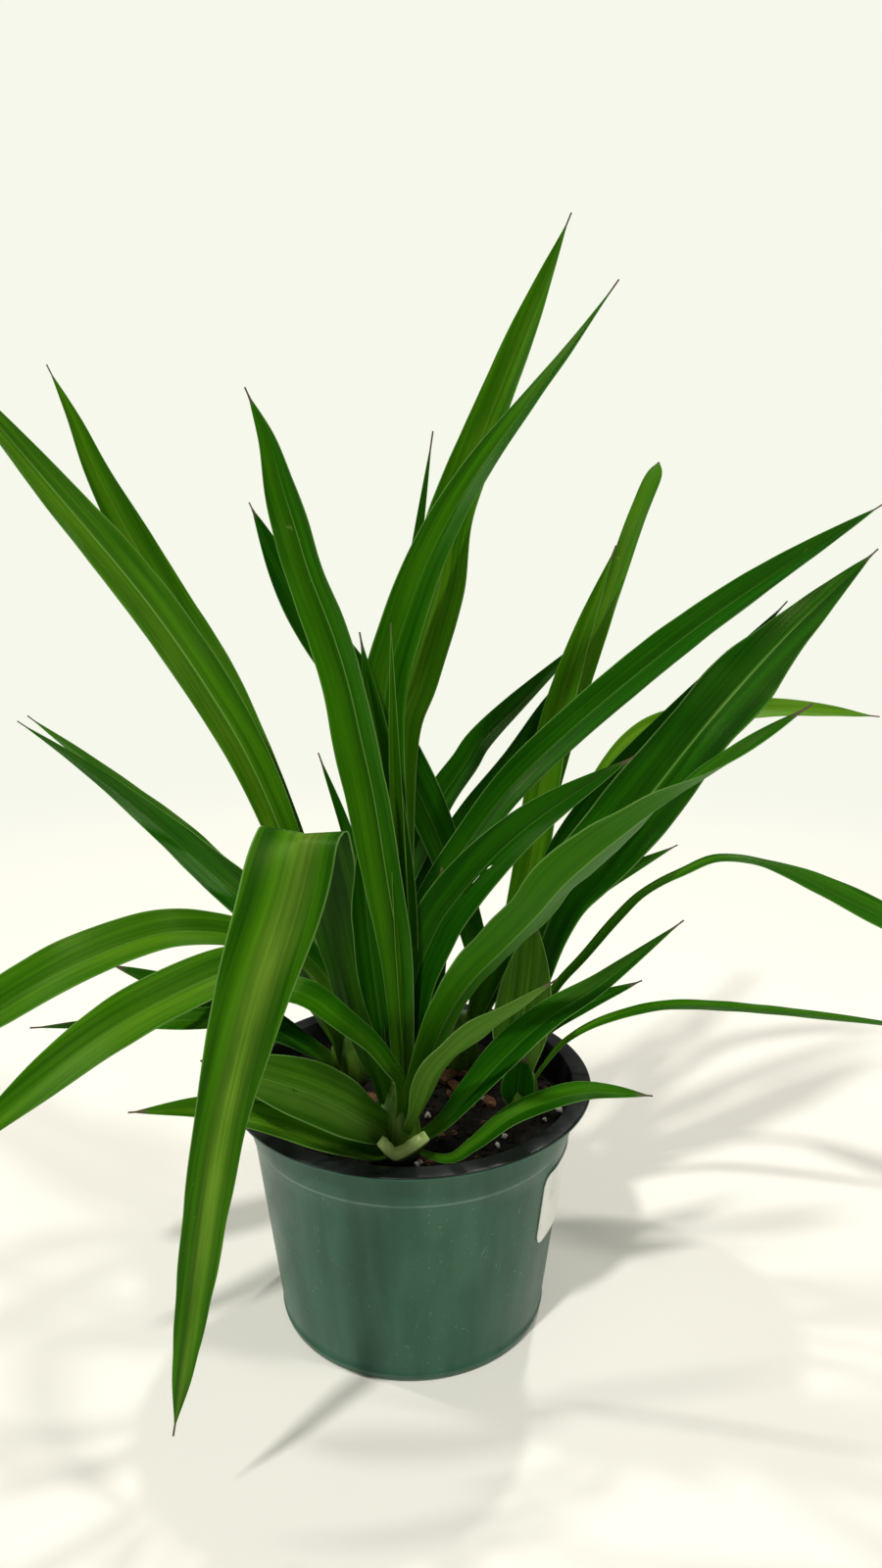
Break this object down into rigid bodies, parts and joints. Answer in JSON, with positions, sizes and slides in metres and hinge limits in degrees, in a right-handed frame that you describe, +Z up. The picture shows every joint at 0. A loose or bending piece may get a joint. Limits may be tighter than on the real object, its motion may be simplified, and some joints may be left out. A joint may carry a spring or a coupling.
{
  "type": "potted yucca",
  "caption": "Young yucca: leafy crowns of long folded strap leaves standing in a filled two-colour nursery pot with a plain label.",
  "frame": {"origin": "centre of the pot's underside, on the face that it stands on", "axes": "+Z up along the pot's axis; -Y towards the viewer, the side that the bent-over leaf hangs down; +X to the viewer's right"},
  "size_m": [0.4909, 0.2972, 0.4893],
  "materials": {
    "pot_plastic": "satin, black along the lip and inside",
    "potting_mix": "rough dark potting mix with pale grains and bark chips",
    "label_paper": "blank coated paper",
    "leaf": "living leaf, semi-gloss with fine veins along it"
  },
  "bodies": {
    "root": {"pot": "pot_plastic", "soil": "potting_mix", "label": "label_paper", "front_crown": "leaf", "left_crown": "leaf", "back_crown": "leaf", "right_crown": "leaf"}
  },
  "joints": []
}
